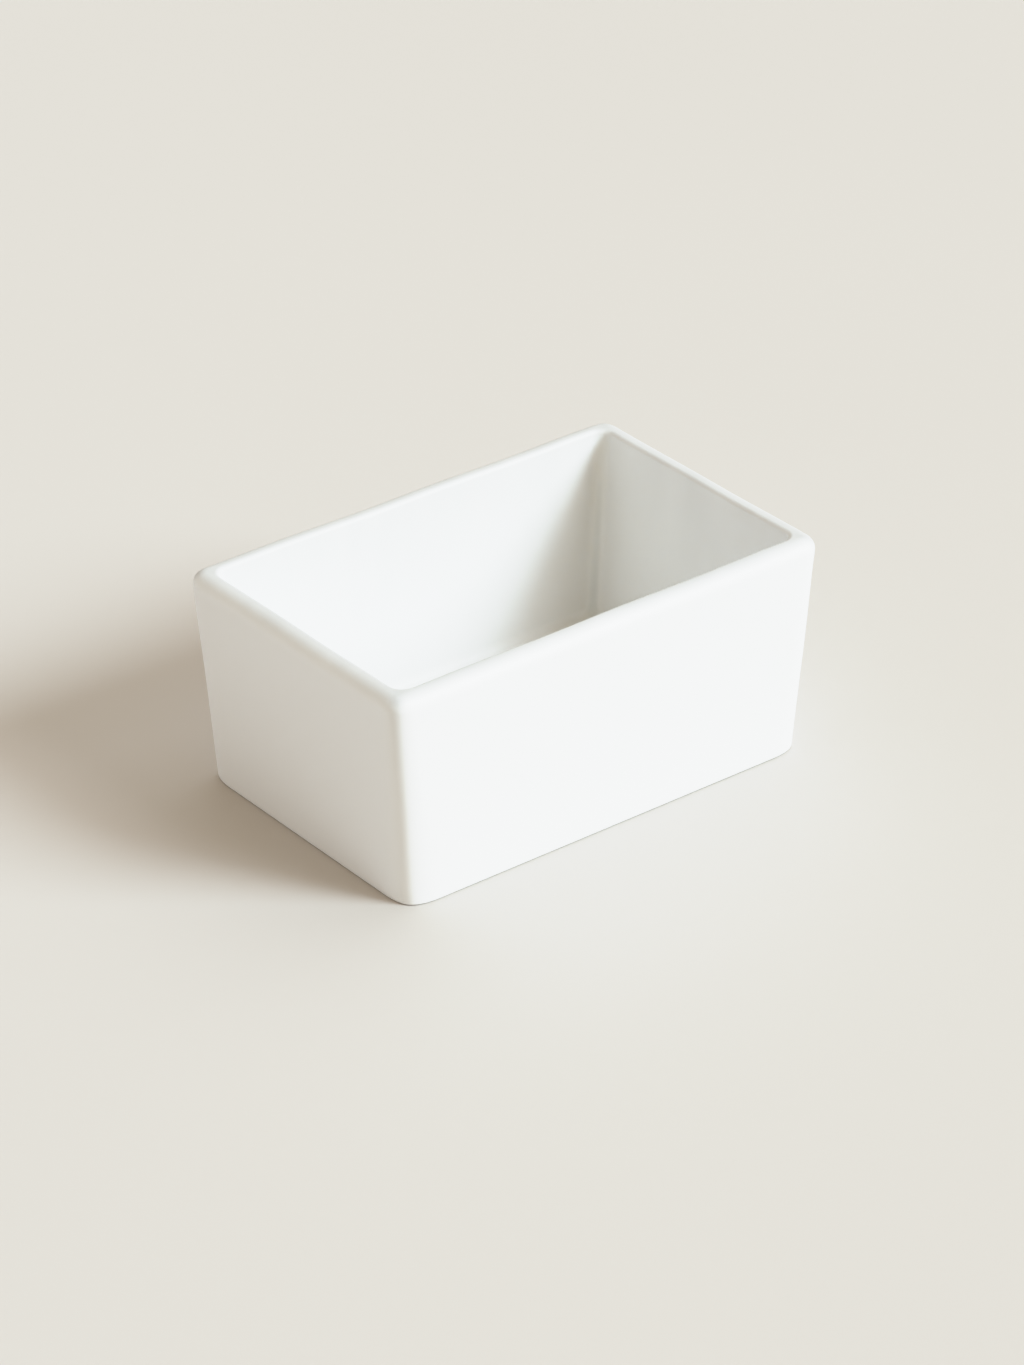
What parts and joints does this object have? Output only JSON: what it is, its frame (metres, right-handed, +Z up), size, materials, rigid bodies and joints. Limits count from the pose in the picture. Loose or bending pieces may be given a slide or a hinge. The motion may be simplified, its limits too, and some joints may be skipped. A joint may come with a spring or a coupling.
{
  "type": "sugar packet holder",
  "caption": "Open rectangular tray of white glazed porcelain with leaning walls, soft corners and a rounded rim, for standing sugar packets on end on a table.",
  "frame": {"origin": "centre of the base at table level", "axes": "+X along the length, +Y along the width, +Z up from the table to the rim"},
  "size_m": [0.108, 0.069, 0.048],
  "materials": {
    "porcelain": "unglazed fired porcelain, matt and fine grained",
    "glaze": "soft gloss white glaze",
    "base_glaze": "soft gloss white glaze, thinner than on the walls"
  },
  "bodies": {
    "root": {"porcelain_body": "porcelain", "glaze_coat": "glaze", "base_glaze": "base_glaze"}
  },
  "joints": []
}
